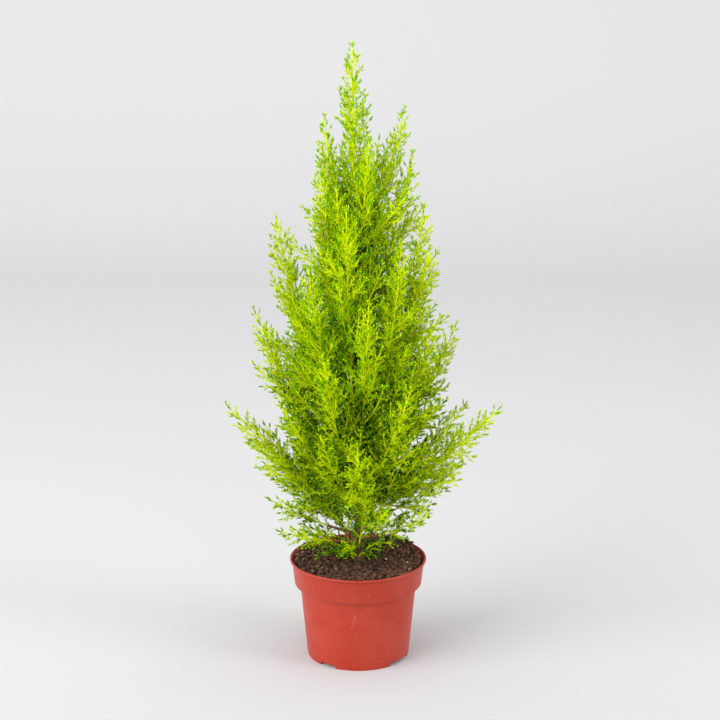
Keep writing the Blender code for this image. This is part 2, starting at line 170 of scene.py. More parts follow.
LEAST_INSIDE = 0.5
BARE_SHARE = 0.36
BARE_BELOW = 0.2
# Painted shade: a spray is a shade class darker for each SHADE_DEPTH inside the crown's skin, and shifted
# by height as SHADE_STEPS give: darkest at the foot of the crown, lightest between 0.17 and 0.38 m, and a
# little darker again towards the top.
SHADE_DEPTH = 0.033
GREEN_ABOVE = 0.27
SHADE_HEIGHTS = (0.10, 0.13, 0.17, 0.25, 0.38, 0.47, 0.56)
SHADE_STEPS = (-0.6, -0.3, 0.4, 0.65, 0.6, 0.35, 0.0)
SHADE_SCATTER = 0.4
SHOOT_FRESHNESS = 0.25
FLOOR_GAP = 0.0025
FLOOR_NEAR = 0.1
RIM_INSIDE = 0.057
LOW_ROOT = TRUNK_FOOT + 0.006
LONGEST_INNER = 0.11
INNER_LOWEST = 0.2
INNER_SPAN = 0.66
LEAST_BARE = 0.12
SHOOT_BARE = 0.1
SPUR_BARE = 0.28
LIMB_RADIUS = 0.00105
INNER_RADIUS = 0.0008
SHOOT_RADIUS = 0.0005
SHOOT_THICKENING = 0.006
TWIG_RADIUS = 0.00042
SPUR_RADIUS = 0.0003
BOX_ROOM = 0.0006
OVER_RIM = 0.0978
PIECE_TRIANGLES = 190000
# Shade classes of the needles, darkest first. Besides the plant's own greener clubs and yellower stems and
# tips, they hold painted shade, darker inside and low in the crown, and painted light, brighter on its
# outside.
DEEPEST_SHADE, GREEN, LIT, BRIGHT, TIP = range(5)

# Low sprigs round the trunk's foot, as (azimuth in degrees, height of tip, reach of tip)
LOW_SPRIGS = (
    (216, 0.104, 0.052),
    (203, 0.112, 0.060),
    (228, 0.109, 0.044),
    (246, 0.103, 0.030),
    (292, 0.103, 0.030),
    (305, 0.105, 0.034),
    (325, 0.116, 0.048),
    (160, 0.112, 0.040),
    (60, 0.115, 0.036),
)

# How needles stand on each order of twig, from 1 to 4: the spacing, length and lean along the shank,
# then the length of the club at its tip and the spacing in it. The last two are what each shade, the
# deepest first, makes of the spacing and the width.
SHANK_SPACING = np.array((0.6, 0.6, 0.56, 0.6)) * 0.001
SHANK_LENGTH = np.array((0.95, 0.95, 0.95, 0.85))
SHANK_LEAN = np.array((34, 38, 44, 46))
CLUB_LENGTH = np.array((0.0064, 0.0058, 0.0044, 0.0030))
CLUB_SPACING = np.array((0.24, 0.27, 0.34, 0.46)) * 0.001
SHADE_SPACING = np.array((2.2, 1.5, 1.25, 1.2))
SHADE_WIDTH = np.array((1.65, 1.3, 1.12, 1.08))

# Pot. The gaps between its feet are (start, end) in degrees anticlockwise from +X.
FOOT_GAPS = ((223.5, 242.7), (308.5, 345.0), (43.5, 62.7), (128.5, 165.0))
FOOT_GAP_HEIGHT = 0.0033
FOOT_GAP_SPLAY = 1.6
FOOT_GAP_BELOW = 0.0032
FOOT_RING_RADIUS = 0.0397
POT_STEPS = 180
BEVEL_ANGLE = math.radians(24)
BEVEL_WIDTH = 0.00035
BEVEL_ABOVE = 0.01

# Compost
COMPOST_LEVEL = 0.0896
COMPOST_EDGE = 0.0608
COMPOST_FOOT = 0.08
COMPOST_TOP = 0.09
SURFACE_ABOVE = 0.085
COMPOST_RINGS = 60
COMPOST_STEPS = 230
LEVEL_RADIUS = 0.012
BANK_WIDTH = 0.013
BANK_HEIGHT = 0.0020
WALL_DROP = 0.0014
WALL_DROP_START = 0.05
WALL_DROP_WIDTH = 0.01
ROLL = 0.0011
LUMP_RELIEF = 0.0017
BACK_RISE = 0.0024
BACK_RISE_REACH = 0.065
HEAP_PLACE = (0.036, 0.036)
HEAP_RADIUS = 0.024
HEAP_HEIGHT = 0.0052
CRUMB_REACH = 0.0585
FIBRE_REACH = 0.057

# Bark and grain. Bark turns to young wood between two heights.
YOUNG_WOOD = (0.15, 0.21)
TRUNK_SUNK = 0.0015
ROOT_RIDGES_HEIGHT = 0.012
GRAIN_ROUGHNESS = 0.55

# Where the lights point
LIT_POINT = (0, 0, 0.3)

Limb = namedtuple("Limb", "name root bend tip")
Twig = namedtuple("Twig", "root bend tip order radius shade")


def length_setting(name, description, value):
    return bpy.props.FloatProperty(name=name, description=description, default=value, unit="LENGTH")


def colour_setting(name, description, value):
    return bpy.props.FloatVectorProperty(name=name, description=description, default=value, subtype="COLOR")


def count_setting(name, description, value):
    return bpy.props.IntProperty(name=name, description=description, default=value, min=0)


class CypressPotSettings(bpy.types.PropertyGroup):
    wall: length_setting("Wall", "Thickness of the pot's wall", 0.0012)
    colour: colour_setting("Plastic", "Colour of the pot", (0.395, 0.028, 0.009))


class CypressCompostSettings(bpy.types.PropertyGroup):
    dark: colour_setting("Damp peat", "Colour of the damp peat", (0.012, 0.005, 0.003))
    light: colour_setting("Dry peat", "Colour of the dry peat", (0.25, 0.11, 0.058))
    crumbs: count_setting("Crumbs", "Number of peat crumbs", 1500)
    fibres: count_setting("Fibres", "Number of root fibres", 2300)
    perlite: count_setting("Perlite", "Number of white grains", 30)


class CypressBarkSettings(bpy.types.PropertyGroup):
    relief: length_setting("Relief", "Depth of the bark's ridges", 0.00045)
    dark: colour_setting("Old bark", "Colour in the bark's furrows", (0.035, 0.016, 0.009))
    light: colour_setting("Young bark", "Colour of the bark's ridges", (0.24, 0.11, 0.045))
    young: colour_setting("Green wood", "Colour of the wood in the crown", (0.10, 0.17, 0.010))


class CypressFoliageSettings(bpy.types.PropertyGroup):
    needle_length: length_setting("Needle length", "Length of a needle", 0.0020)
    needle_width: length_setting("Needle width", "Width of a needle at its foot", 0.00074)
    # The needle colours, lightest first. Tip and bright are the yellow growing tips and stems, and also
    # painted light on the outermost sprays; lit is the main colour of the outer sprays; green is the clubs'
    # own darker green and painted shade a little way in; the last, darkest colour is painted shade on the
    # sprays inside the crown.
    tip: colour_setting("Tips", "Colour of the growing tips", (0.72, 0.84, 0.010))
    bright: colour_setting("Bright", "Colour along the outer stems", (0.85, 0.93, 0.006))
    lit: colour_setting("Lit", "Colour of most outer sprays", (0.70, 0.88, 0.006))
    green: colour_setting("Green", "Colour of older sprays", (0.27, 0.58, 0.003))
    deep: colour_setting("Deep", "Colour of the sprays inside", (0.010, 0.105, 0.0012))
    stem: colour_setting("Young stems", "Colour of the outer stems", (0.74, 0.86, 0.006))
    # Painted shade: a darker copy of the stems' colour, for the stems in the deepest shade class.
    old_stem: colour_setting("Shaded stems", "Colour of the inner stems", (0.09, 0.30, 0.004))


# Materials


def new_material(name, roughness):
    made = bpy.data.materials.new(name)
    made.use_nodes = True
    shader = made.node_tree.nodes["Principled BSDF"]
    shader.inputs["Roughness"].default_value = roughness
    return made, made.node_tree, shader


def add_node(tree, kind, **inputs):
    """A shader node whose inputs take plain values, or links from other nodes' outputs."""
    node = tree.nodes.new(f"ShaderNode{kind}")
    for name, value in inputs.items():
        socket = node.inputs[name.replace("_", " ")]
        if isinstance(value, bpy.types.NodeSocket):
            tree.links.new(value, socket)
        else:
            socket.default_value = value
    return node


def add_noise(tree, scale, detail=3.0, stretch=(1, 1, 1)):
    place = add_node(tree, "TexCoord").outputs["Object"]
    place = add_node(tree, "Mapping", Vector=place, Scale=stretch).outputs["Vector"]
    look = {"Scale": scale, "Detail": detail, "Roughness": GRAIN_ROUGHNESS}
    return add_node(tree, "TexNoise", Vector=place, **look).outputs["Fac"]


def add_cells(tree, scale):
    """How far each place lies from the nearest of many scattered points."""
    place = add_node(tree, "TexCoord").outputs["Object"]
    return add_node(tree, "TexVoronoi", Vector=place, Scale=scale).outputs["Distance"]


def add_range(tree, source, start, end, share):
    """A share that grows from nothing at the start to its full value at the end, and stays there."""
    limits = {"From_Min": start, "From_Max": end, "To_Max": share}
    return add_node(tree, "MapRange", Value=source, **limits).outputs["Result"]


def add_rise(tree, axis, start, end):
    """A share that grows from 0 to 1 between two places along an axis."""
    place = add_node(tree, "TexCoord").outputs["Object"]
    parts = add_node(tree, "SeparateXYZ", Vector=place)
    return add_range(tree, parts.outputs[axis], start, end, 1.0)


def add_blend(tree, share, base, colour):
    """A base that gives way to a plain colour by a share."""
    blend = tree.nodes.new("ShaderNodeMix")
    blend.data_type = "RGBA"
    blend.inputs["B"].default_value = (*colour, 1.0)
    tree.links.new(share, blend.inputs["Factor"])
    tree.links.new(base, blend.inputs["A"])
    return blend.outputs["Result"]


def add_ramp(tree, source, stops):
    """A colour ramp over a value, with stops of (place, colour)."""
    ramp = add_node(tree, "ValToRGB", Fac=source)
    elements = ramp.color_ramp.elements
    while len(elements) < len(stops):
        elements.new(0.5)
    for element, (place, colour) in zip(elements, stops):
        element.position = place
        element.color = (*colour, 1.0)
    return ramp.outputs["Color"]


def add_bump(tree, shader, source, strength, distance):
    bump = add_node(tree, "Bump", Strength=strength, Distance=distance, Height=source)
    tree.links.new(bump.outputs["Normal"], shader.inputs["Normal"])


def paint(tree, shader, colour):
    tree.links.new(colour, shader.inputs["Base Color"])


def mixed(colour, other, share):
    return tuple(a + (b - a) * share for a, b in zip(colour, other))


def plastic_material(colour):
    """Satin moulded plastic with faint clouding, a few pale scratches and specks of dust."""
    made, tree, shader = new_material("moulded_plastic", 0.32)
    shader.inputs["Specular IOR Level"].default_value = 0.30
    pale = mixed(colour, (0.8, 0.5, 0.42), 0.45)
    stops = ((0.3, mixed(colour, (0, 0, 0), 0.06)), (0.7, mixed(colour, pale, 0.08)))
    base = add_ramp(tree, add_noise(tree, 26, 4), stops)
    marks = (
        (add_noise(tree, 420, 2, (1, 1, 0.12)), 0.70, 0.76, 0.3),
        (add_cells(tree, 360), 0.12, 0.06, 0.9),
        (add_cells(tree, 130), 0.028, 0.020, 1.0),
    )
    for source, start, end, share in marks:
        base = add_blend(tree, add_range(tree, source, start, end, share), base, pale)
    paint(tree, shader, base)
    stops = ((0.3, (0.36,) * 3), (0.7, (0.44,) * 3))
    rough = add_ramp(tree, add_noise(tree, 90, 3), stops)
    tree.links.new(rough, shader.inputs["Roughness"])
    add_bump(tree, shader, add_noise(tree, 900, 2), 0.12, 0.0002)
    return made


def peat_material(name, dark, light, scale):
    made, tree, shader = new_material(name, 0.92)
    stops = ((0.36, dark), (0.5, mixed(dark, light, 0.4)), (0.66, light))
    paint(tree, shader, add_ramp(tree, add_noise(tree, scale, 5), stops))
    add_bump(tree, shader, add_noise(tree, scale * 3, 4), 0.9, 0.0012)
    return made


def mineral_material():
    made, tree, shader = new_material("perlite", 0.8)
    stops = ((0.3, (0.62, 0.58, 0.52)), (0.7, (0.86, 0.84, 0.8)))
    paint(tree, shader, add_ramp(tree, add_noise(tree, 900, 3), stops))
    return made


def bark_material(name, dark, light, above):
    """Bark whose furrows run up the stem, and which turns to the colour of young wood higher up."""
    made, tree, shader = new_material(name, 0.85)
    furrows = add_noise(tree, 620, 5, (1, 1, 0.16))
    colour = add_ramp(tree, furrows, ((0.34, dark), (0.5, mixed(dark, light, 0.4)), (0.68, light)))
    paint(tree, shader, add_blend(tree, add_rise(tree, "Z", *YOUNG_WOOD), colour, above))
    add_bump(tree, shader, furrows, 0.6, 0.0005)
    return made


def needle_material(name, colour):
    """Waxy needles of one base colour, a little uneven from spray to spray."""
    made, tree, shader = new_material(name, 0.6)
    darker = mixed(colour, (0, 0, 0), 0.18)
    lighter = tuple(min(1.0, part * 1.06) for part in colour)
    paint(tree, shader, add_ramp(tree, add_noise(tree, 55, 2), ((0.3, darker), (0.7, lighter))))
    shader.inputs["Specular IOR Level"].default_value = 0.0
    return made


# Meshes


def add_object(name, data):
    made = bpy.data.objects.new(name, data)
    bpy.context.scene.collection.objects.link(made)
    return made


def place_piece(name, mesh, finish, replaced=()):
    """A piece that rides with the plant and stands for the nodes it replaces."""
    piece = add_object(name, mesh)
    mesh.materials.append(finish)
    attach(piece, BODY)
    if replaced:
        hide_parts(*replaced)


def mesh_from_bmesh(bm, name):
    bmesh.ops.recalc_face_normals(bm, faces=bm.faces)
    mesh = bpy.data.meshes.new(name)
    bm.to_mesh(mesh)
    bm.free()
    mesh.shade_smooth()
    return mesh


def mesh_from_arrays(name, points, triangles):
    """One joined mesh from an array of points and one of triangles."""
    mesh = bpy.data.meshes.new(name)
    mesh.vertices.add(len(points))
    mesh.vertices.foreach_set("co", np.asarray(points, np.float32).ravel())
    mesh.loops.add(triangles.size)
    mesh.loops.foreach_set("vertex_index", np.asarray(triangles, np.int32).ravel())
    mesh.polygons.add(len(triangles))
    mesh.polygons.foreach_set("loop_start", np.arange(0, triangles.size, 3, dtype=np.int32))
    mesh.update(calc_edges=True)
    return mesh


def spin_profile(bm, profile, steps):
    """A full turn of a profile whose first and last points are on the axis."""
    verts = [bm.verts.new((radius, 0, height)) for radius, height in profile]
    edges = [bm.edges.new(pair) for pair in zip(verts, verts[1:])]
    bmesh.ops.spin(
        bm, geom=verts + edges, cent=(0, 0, 0), axis=(0, 0, 1), angle=math.tau, steps=steps, use_merge=True
    )
    bmesh.ops.remove_doubles(bm, verts=bm.verts, dist=1e-6)


def join_rings(bm, rings):
    """Faces between rings of as many points each, and one over either end."""
    sides = len(rings[0])
    for ring, following in zip(rings, rings[1:]):
        for j in range(sides):
            k = (j + 1) % sides
            bm.faces.new((ring[j], ring[k], following[k], following[j]))
    bm.faces.new(rings[0][::-1])
    bm.faces.new(rings[-1])


# Pot


def foot_gap_height(azimuth):
    """How high the underside of the foot's ring stands at an azimuth, with splayed ends to each gap."""
    degrees = math.degrees(azimuth) % 360
    rise = 0.0
    for start, end in FOOT_GAPS:
        inside = min(degrees - start, end - degrees)
        rise = max(rise, min(1.0, max(0.0, inside / FOOT_GAP_SPLAY + 0.5)))
    return FOOT_GAP_HEIGHT * rise


def pot_profile(wall):
    """The pot's outline as (radius, height): up its outside, over the lip and down its inside."""
    rim_radius = POT_BOX[1].x
    rim_height = POT_BOX[1].z
    lip_foot = rim_height - 0.0022
    return (
        (0, 0),
        (0.0395, 0),
        (0.0399, 0),
        (0.0482, 0),
        (0.0486, 0.0030),
        (0.0490, 0.0042),
        (0.0489, 0.0050),
        (0.0491, 0.0062),
        (0.0553, 0.0706),
        (0.0553, 0.0714),
        (0.0604, 0.0718),
        (0.0627, lip_foot - 0.0022),
        (0.0630, lip_foot - 0.0014),
        (rim_radius - 0.0003, lip_foot),
        (rim_radius, rim_height - 0.0007),
        (rim_radius - 0.0006, rim_height),
        (rim_radius - 0.0013, rim_height),
        (rim_radius - 0.0018, rim_height - 0.0006),
        (0.0626 - wall, lip_foot - 0.0014),
        (0.0604 - wall, 0.0718 + wall),
        (0.0553 - wall, 0.0712 + wall),
        (0.0492 - wall, 0.0062),
        (0, 0.0062),
    )


def build_pot(settings):
    """The thin-walled pot, its edges softened and its underside raised between its feet."""
    bm = bmesh.new()
    spin_profile(bm, pot_profile(settings.wall), POT_STEPS)
    bmesh.ops.recalc_face_normals(bm, faces=bm.faces)
    sharp = []
    for edge in bm.edges:
        bent = edge.is_manifold and edge.calc_face_angle() > BEVEL_ANGLE
        if bent and min(vert.co.z for vert in edge.verts) > BEVEL_ABOVE:
            sharp.append(edge)
    bevel = {"offset": BEVEL_WIDTH, "segments": 3, "profile": 0.5, "material": -1, "clamp_overlap": True}
    bmesh.ops.bevel(bm, geom=sharp, affect="EDGES", **bevel)
    for vert in bm.verts:
        if vert.co.z < FOOT_GAP_BELOW and math.hypot(vert.co.x, vert.co.y) > FOOT_RING_RADIUS:
            vert.co.z = max(vert.co.z, foot_gap_height(math.atan2(vert.co.y, vert.co.x)))
    mesh = mesh_from_bmesh(bm, "pot_shell")
    mesh.set_sharp_from_angle(angle=math.radians(32))
    place_piece("pot_shell", mesh, plastic_material(settings.colour), ("pot",))


# Compost


def compost_height(x, y):
    """The compost's surface: level at the trunk, banked from there, and heaped at the back right."""
    radius = math.hypot(x, y)
    broad = noise.noise(Vector((x * 34, y * 34, 1.7)))
    lumps = noise.fractal(Vector((x * 190, y * 190, 4.2)), 1.0, 2.1, 4)
    heap = BACK_RISE * max(0.0, (x + y) / BACK_RISE_REACH)
    far = math.hypot(x - HEAP_PLACE[0], y - HEAP_PLACE[1]) / HEAP_RADIUS
    heap += HEAP_HEIGHT * max(0.0, 1 - far * far)
    fade = min(1.0, max(0.0, (radius - LEVEL_RADIUS) / BANK_WIDTH))
    bank = BANK_HEIGHT * fade - WALL_DROP * max(0.0, (radius - WALL_DROP_START) / WALL_DROP_WIDTH)
    return COMPOST_LEVEL + (ROLL * broad + heap) * fade + LUMP_RELIEF * lumps + bank


def build_compost_bed(settings):
    profile = [(0, COMPOST_FOOT), (COMPOST_EDGE - 0.0012, COMPOST_FOOT)]
    profile += [(COMPOST_EDGE * (1 - i / COMPOST_RINGS), COMPOST_TOP) for i in range(COMPOST_RINGS)]
    profile.append((0, COMPOST_TOP))
    bm = bmesh.new()
    spin_profile(bm, profile, COMPOST_STEPS)
    for vert in bm.verts:
        if vert.co.z > SURFACE_ABOVE:
            vert.co.z = compost_height(vert.co.x, vert.co.y)
    mesh = mesh_from_bmesh(bm, "compost_bed")
    finish = peat_material("damp_peat", settings.dark, settings.light, 260)
    place_piece("compost_bed", mesh, finish, ("compost",))


def crumb_shape(draw):
    """One uneven crumb about a unit across, as points and triangles."""
    bm = bmesh.new()
    bmesh.ops.create_icosphere(bm, subdivisions=1, radius=0.5)
    offset = Vector([draw.uniform(0, 9) for _ in range(3)])
    for vert in bm.verts:
        vert.co *= 1 + 1.1 * noise.noise(vert.co * 2.6 + offset)
    points = np.array([vert.co[:] for vert in bm.verts])
    triangles = np.array([[vert.index for vert in face.verts] for face in bm.faces])
    bm.free()
    return points, triangles


def scattered_place(draw, edge):
    azimuth = draw.uniform(0, math.tau)
    radius = edge * math.sqrt(draw.uniform(0.004, 1))
    return radius * math.cos(azimuth), radius * math.sin(azimuth)


def scatter_crumbs(name, count, sizes, finish, seed, lift=0.3):
    """Uneven crumbs strewn over the compost."""
    draw = random.Random(seed)
    shapes = [crumb_shape(draw) for _ in range(8)]
    points = []
    triangles = []
    total = 0
    for _ in range(count):
        shape, faces = draw.choice(shapes)
        x, y = scattered_place(draw, CRUMB_REACH)
        size = draw.uniform(*sizes)
        angle = draw.uniform(0, math.tau)
        turn = Matrix.Rotation(angle, 3, Vector((draw.gauss(0, 1), draw.gauss(0, 1), 1)))
        stretch = Matrix.Diagonal((draw.uniform(0.7, 1.6), draw.uniform(0.7, 1.2), draw.uniform(0.5, 0.9)))
        place = np.array((x, y, compost_height(x, y) + size * draw.uniform(-0.1, lift)))
        points.append(shape @ np.array(turn @ stretch).T * size + place)
        triangles.append(faces + total)
        total += len(shape)
    mesh = mesh_from_arrays(name, np.concatenate(points), np.concatenate(triangles))
    place_piece(name, mesh, finish)


def scatter_fibres(name, count, finish, seed):
    """Fine bent root fibres that lie on the compost."""
    draw = random.Random(seed)
    roots, bends, tips = [], [], []
    for _ in range(count):
        x, y = scattered_place(draw, FIBRE_REACH)
        length = draw.uniform(0.0035, 0.014)
        heading = draw.uniform(0, math.tau)
        centre = Vector((x, y, compost_height(x, y) + draw.uniform(0.0006, 0.0018)))
        along = Vector((math.cos(heading), math.sin(heading), draw.gauss(0, 0.22)))
        across = Vector((-math.sin(heading), math.cos(heading), draw.uniform(0.0, 0.5)))
        roots.append(centre - along * length / 2)
        tips.append(centre + along * length / 2)
        bends.append(centre + across * length * draw.uniform(-0.5, 0.5))
    radii = np.array([draw.uniform(0.00014, 0.00042) for _ in range(count)])
    points, triangles = tapered_tubes(roots, bends, tips, radii, radii * 0.5, 3, 3)
    mesh = mesh_from_arrays(name, points, triangles)
    mesh.shade_smooth()
    place_piece(name, mesh, finish)


# The crown's rule


def trunk_axis(height):
    share = (height - TRUNK_FOOT) / PLANT_RISE
    fade = math.sin(math.pi * min(share, 1.0))
    return Vector(
        (
            TRUNK_LEAN * share + TRUNK_SWAY * math.sin(SWAY_ACROSS * share) * fade,
            TRUNK_SWAY * math.sin(SWAY_DEEP * share + SWAY_START) * fade,
            height,
        )
    )


def trunk_radius(height):
    share = (height - TRUNK_FOOT) / (TRUNK_TIP - TRUNK_FOOT)
    flare = (FLARE_RADIUS - TRUNK_FOOT_RADIUS) * math.exp((TRUNK_FOOT - height) / FLARE_HEIGHT)
    return TRUNK_FOOT_RADIUS + (TRUNK_TIP_RADIUS - TRUNK_FOOT_RADIUS) * share + flare


def crown_reach(height):
    share = (height - TRUNK_FOOT) / PLANT_RISE
    if share > WIDEST_SHARE:
        return CROWN_REACH * (max(1 - share, 0) / (1 - WIDEST_SHARE)) ** CROWN_TAPER
    growth = math.sqrt(max(share, 0) / WIDEST_SHARE)
    return CROWN_REACH * (LOWEST_REACH_SHARE + (1 - LOWEST_REACH_SHARE) * growth)


def tip_point(azimuth, height, reach):
    return trunk_axis(height) + reach * Vector((math.cos(azimuth), math.sin(azimuth), 0))


def tip_places():
    """Where the tips stand, lowest first: a spiral, in which outstanding shoots take the nearest places."""
    draw = random.Random(SEED)
    places = []
    for i in range(FOLIAGE_COUNT):
        share = HIGHEST_SHARE - (HIGHEST_SHARE - LOWEST_SHARE) * (i / (FOLIAGE_COUNT - 1)) ** CROWDING
        height = TRUNK_FOOT + share * PLANT_RISE
        reach = crown_reach(height) * draw.uniform(*REACH_SCATTER)
        places.append((FIRST_AZIMUTH + i * GOLDEN_ANGLE, height, reach))
    for degrees, height, reach in OUTSTANDING:
        place = (math.radians(degrees), height, reach)
        point = tip_point(*place)
        free = [p for p in places if len(p) == 3]
        nearest = min(free, key=lambda p: (tip_point(*p) - point).length)
        places[places.index(nearest)] = (*place, True)
    return sorted((place[:3] for place in places), key=lambda place: place[1])


def limb_point(limb, share):
    return (1 - share) ** 2 * limb.root + 2 * share * (1 - share) * limb.bend + share**2 * limb.tip


def limb_direction(limb, share):
    return (2 * (1 - share) * (limb.bend - limb.root) + 2 * share * (limb.tip - limb.bend)).normalized()


def limb_length(limb):
    points = [limb_point(limb, i / CURVE_STEPS) for i in range(CURVE_STEPS + 1)]
    return sum((b - a).length for a, b in zip(points, points[1:]))


def limb_to(name, tip_place, lowest, turned):
    """A limb that leaves the trunk as low as its tip's height and reach ask, but no lower than lowest."""
    azimuth, height, reach = tip_place
    share = (height - TRUNK_FOOT) / PLANT_RISE
    spread = STEEPEST + (FLATTEST - STEEPEST) * (1 - share) ** SPREAD_FALL
    root_height = max(lowest, height - reach / math.tan(spread))
    root_azimuth = azimuth + math.radians(turned)
    outward = Vector((math.cos(root_azimuth), math.sin(root_azimuth), 0))
    tip = tip_point(azimuth, height, reach)
    root = trunk_axis(root_height) + ROOT_DEPTH * trunk_radius(root_height) * outward
    rise = tip.z - root.z
    bow = BOW if rise > LEAST_RISE else SAG
    bend = (root + tip) / 2 + bow * (rise + BOW_EXTRA) * outward - bow * Vector((0, 0, reach))
    return Limb(name, root, bend, tip), root_height


def grow_limbs():
    """The limbs that the solids have too, lowest first."""
    draw = random.Random(SEED + 1)
    limbs = []
    lowest = TRUNK_FOOT + LOWEST_ROOT
    for number, place in enumerate(tip_places(), 1):
        turned = draw.uniform(-ROOT_SCATTER, ROOT_SCATTER)
        limb, root_height = limb_to(f"{number:02d}", place, lowest, turned)
        lowest = root_height + ROOT_STEP
        limbs.append(limb)
    return limbs


def grow_inner_limbs():
    """Thin stems that fill the crown round the trunk, inside the reach of the limbs."""
    draw = random.Random(SEED + 2)
    limbs = []
    for i in range(INNER_LIMBS):
        share = INNER_LOWEST + INNER_SPAN * i / (INNER_LIMBS - 1)
        height = TRUNK_FOOT + share * PLANT_RISE
        reach = crown_reach(height) * draw.uniform(*INNER_REACH)
        place = (FIRST_AZIMUTH + (i + 0.5) * GOLDEN_ANGLE, height, reach)
        lowest = max(LOW_ROOT, min(TRUNK_TIP, height - LONGEST_INNER))
        turned = draw.uniform(-ROOT_SCATTER, ROOT_SCATTER)
        limbs.append(limb_to(f"inner_{i:02d}", place, lowest, turned)[0])
    for number, (degrees, height, reach) in enumerate(LOW_SPRIGS):
        place = (math.radians(degrees), height, reach)
        limbs.append(limb_to(f"low_{number}", place, LOW_ROOT, 0)[0])
    return limbs


def leader_limb():
    root = trunk_axis(TRUNK_TIP - LEADER_SINK)
    tip = trunk_axis(PLANT_TOP)
    return Limb("leader", root, (root + tip) / 2 - Vector((LEADER_BOW, 0, 0)), tip)


def crosswise(direction):
    """Two unit vectors square to a direction and to each other."""
    side = direction.cross(Vector((0, 0, 1)))
    if side.length < 0.05:
        side = direction.cross(Vector((0, 1, 0)))
    side.normalize()
    return side, side.cross(direction).normalized()


def shoot_from(limb, share, reach, angle, turn, lift=SHOOT_LIFT, pull=0.0):
    """A shoot that leaves a limb at a share of its length and lifts towards its own tip."""
    direction = limb_direction(limb, share)
    side, up = crosswise(direction)
    outward = math.cos(turn) * side + math.sin(turn) * up
    heading = math.cos(angle) * direction + math.sin(angle) * outward
    root = limb_point(limb, share)
    if pull:
        fan = (root - trunk_axis(FAN_FOOT)).normalized()
        heading = (heading + pull * fan).normalized()
    tip = root + reach * heading
    bend = (root + tip) / 2 + lift * reach * (outward - LIFT_BACK * direction)
    return Limb(limb.name, root, bend, tip)


def side_shoots(limb, start, draw):
    """The shoots that the solids have too."""
    length = limb_length(limb)
    shoots = []
    travelled = start * length + FIRST_SHOOT
    turn = draw.uniform(0, math.tau)
    while travelled < length - SHORTEST_SHOOT:
        strong = len(shoots) % STRONG_EVERY == 0
        reach = min(LONGEST_SHOOT, (STRONG_SHARE if strong else SHOOT_SHARE) * (length - travelled))
        reach = max(SHORTEST_SHOOT, reach * draw.uniform(*LENGTH_SCATTER))
        angle = (STRONG_ANGLE if strong else SHOOT_ANGLE) * draw.uniform(*ANGLE_SCATTER)
        shoots.append(shoot_from(limb, travelled / length, reach, angle, turn))
        turn += GOLDEN_ANGLE
        travelled += SHOOT_SPACING * draw.uniform(*SPACING_SCATTER)
    return shoots


def finer_shoots(limb, start, growth, draw):
    """Shoots of the next order along a limb, of even reach up to where they shorten towards its tip."""
    length = limb_length(limb)
    shoots = []
    travelled = start * length + growth.spacing * draw.uniform(0.3, 1.0)
    turn = draw.uniform(0, math.tau)
    while growth.extra + growth.taper * (length - travelled) > growth.least:
        longest = min(growth.longest, growth.extra + growth.taper * (length - travelled))
        for way in range(growth.ways):
            reach = longest * draw.uniform(0.72, 1.12)
            angle = growth.angle * draw.uniform(0.82, 1.18)
            around = turn + way * math.pi + draw.uniform(-0.3, 0.3)
            share = travelled / length
            shoots.append(shoot_from(limb, share, reach, angle, around, growth.lift, growth.pull))
        turn += GOLDEN_ANGLE if growth.ways == 1 else math.pi / 2
        sparse = 1
        if growth is SIDE_TWIGS:
            sparse += TIP_GAP * math.exp((travelled - length) / TIP_GAP_FADE)
        travelled += growth.spacing * sparse * draw.uniform(0.8, 1.2)
    return shoots


def depth_inside(point):
    """How far inside the crown's skin a point is."""
    axis = trunk_axis(point.z)
    return crown_reach(point.z) - math.hypot(point.x - axis.x, point.y - axis.y)


def shade_at(point, draw, fresh):
    """The shade of a spray, from the deepest to the brightest. It is painted shade: a step darker for each
    SHADE_DEPTH inside the crown's skin, darker or lighter by height as SHADE_STEPS give, a little lighter
    on fresh shoots, and scattered.
    """
    depth = max(0.0, depth_inside(point))
    height = float(np.interp(point.z, SHADE_HEIGHTS, SHADE_STEPS))
    value = LIT + height - depth / SHADE_DEPTH + fresh + draw.gauss(0, SHADE_SCATTER)
    return int(max(DEEPEST_SHADE, min(BRIGHT, round(value))))


def lowest_at(point):
    """How low a spray may hang at a place: just over the compost, and higher over the rim."""
    radius = math.hypot(point.x, point.y)
    if radius > RIM_INSIDE:
        return OVER_RIM
    return compost_height(point.x, point.y) + FLOOR_GAP


def kept(point, draw):
    """Whether a shoot is alive: fewer are, the further in they would end."""
    chance = draw.random()
    if point.z < FLOOR_NEAR and point.z < lowest_at(point):
        return False
    depth = depth_inside(point)
    share = min(1.0, max(0.0, (depth - INNER_DEPTH) / (BARE_DEPTH - INNER_DEPTH)))
    return chance > share * (1 - LEAST_INSIDE)


def drawn_back(limb):
    """The limb's tip, short of its full reach by the length that its last needles add."""
    return limb.tip - limb_direction(limb, 1.0) * TIP_ALLOWANCE


def dress(carrier, start, twigs, draw):
    """Adds the side twigs of a stem or shoot, with their own spurs."""
    for twig in finer_shoots(carrier, start, SIDE_TWIGS, draw):
        if not kept(twig.tip, draw):
            continue
        shade = shade_at(twig.tip, draw, 0.0)
        twigs.append(Twig(twig.root, twig.bend, twig.tip, 3, TWIG_RADIUS, shade))
        if (twig.tip - twig.root).length < LEAST_WITH_SPURS or shade == DEEPEST_SHADE:
            continue
        for spur in finer_shoots(twig, SPUR_BARE, SPURS, draw):
            if spur.tip.z > FLOOR_NEAR or spur.tip.z > lowest_at(spur.tip):
                twigs.append(Twig(spur.root, spur.bend, spur.tip, 4, SPUR_RADIUS, shade))


def well_inside(point):
    """Whether a point lies inside the plant's own box with room for a needle's width."""
    low, high = CAD_BOX
    return all(low[i] + BOX_ROOM < point[i] < high[i] - BOX_ROOM for i in range(3))


